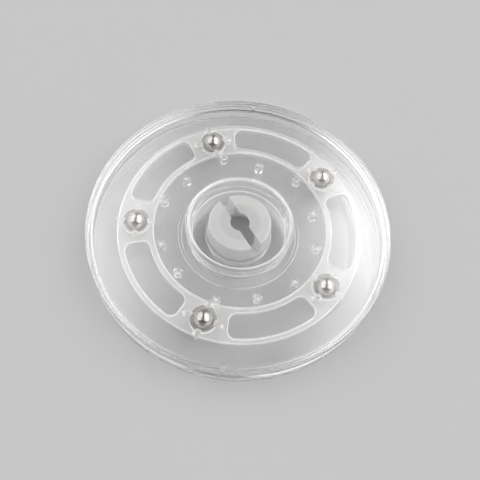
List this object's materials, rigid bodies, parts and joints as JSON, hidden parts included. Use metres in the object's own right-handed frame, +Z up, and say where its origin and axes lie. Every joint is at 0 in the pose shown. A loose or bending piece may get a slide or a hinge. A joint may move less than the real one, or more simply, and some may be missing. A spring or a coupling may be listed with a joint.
{
  "type": "turntable display stand",
  "caption": "Low round turntable stand: a clear platter turns on loose steel balls in a floating cage over a clear base, held together by a slotted hub in a sunken cup.",
  "frame": {"origin": "on the table, under the middle of the round base", "axes": "+Z up along the axis the platter turns about; +Y from the near edge to the far edge in the reference view"},
  "size_m": [0.14, 0.14, 0.016],
  "materials": {
    "clear_plastic": "clear polished polystyrene",
    "hub_plastic": "milky translucent moulding, satin",
    "cage_plastic": "frosted translucent moulding",
    "steel": "polished bearing steel"
  },
  "bodies": {
    "base": {"bottom_plate": "clear_plastic", "centre_hub": "hub_plastic"},
    "platter": {"top_plate": "clear_plastic"},
    "cage": {"ball_cage": "cage_plastic"},
    "ball_1": {"steel_ball_1": "steel"},
    "ball_2": {"steel_ball_2": "steel"},
    "ball_3": {"steel_ball_3": "steel"},
    "ball_4": {"steel_ball_4": "steel"},
    "ball_5": {"steel_ball_5": "steel"}
  },
  "joints": [
    {"name": "platter_spin", "type": "hinge", "parent": "base", "child": "platter", "pos_m": [0, 0, 0.008], "axis": [0, 0, 1], "continuous": true},
    {"name": "cage_spin", "type": "hinge", "parent": "base", "child": "cage", "pos_m": [0.00045, 0.0009, 0.008], "axis": [0, 0, 1], "continuous": true},
    {"name": "ball_1_roll", "type": "hinge", "parent": "cage", "child": "ball_1", "pos_m": [0.0367, 0.03297, 0.008], "axis": [-0.749, -0.6626, 0], "continuous": true},
    {"name": "ball_2_roll", "type": "hinge", "parent": "cage", "child": "ball_2", "pos_m": [-0.01885, 0.04529, 0.008], "axis": [0.3987, -0.9171, 0], "continuous": true},
    {"name": "ball_3_roll", "type": "hinge", "parent": "cage", "child": "ball_3", "pos_m": [-0.04773, -0.00374, 0.008], "axis": [0.9954, 0.0958, 0], "continuous": true},
    {"name": "ball_4_roll", "type": "hinge", "parent": "cage", "child": "ball_4", "pos_m": [-0.01003, -0.04635, 0.008], "axis": [0.2164, 0.9763, 0], "continuous": true},
    {"name": "ball_5_roll", "type": "hinge", "parent": "cage", "child": "ball_5", "pos_m": [0.04215, -0.02366, 0.008], "axis": [-0.8616, 0.5075, 0], "continuous": true}
  ],
  "couplings": [
    {"joint": "cage_spin", "follows": "platter_spin", "ratio": 0.5},
    {"joint": "ball_1_roll", "follows": "platter_spin", "ratio": 5.0814},
    {"joint": "ball_2_roll", "follows": "platter_spin", "ratio": 5.0814},
    {"joint": "ball_3_roll", "follows": "platter_spin", "ratio": 5.0814},
    {"joint": "ball_4_roll", "follows": "platter_spin", "ratio": 5.0814},
    {"joint": "ball_5_roll", "follows": "platter_spin", "ratio": 5.0814}
  ]
}
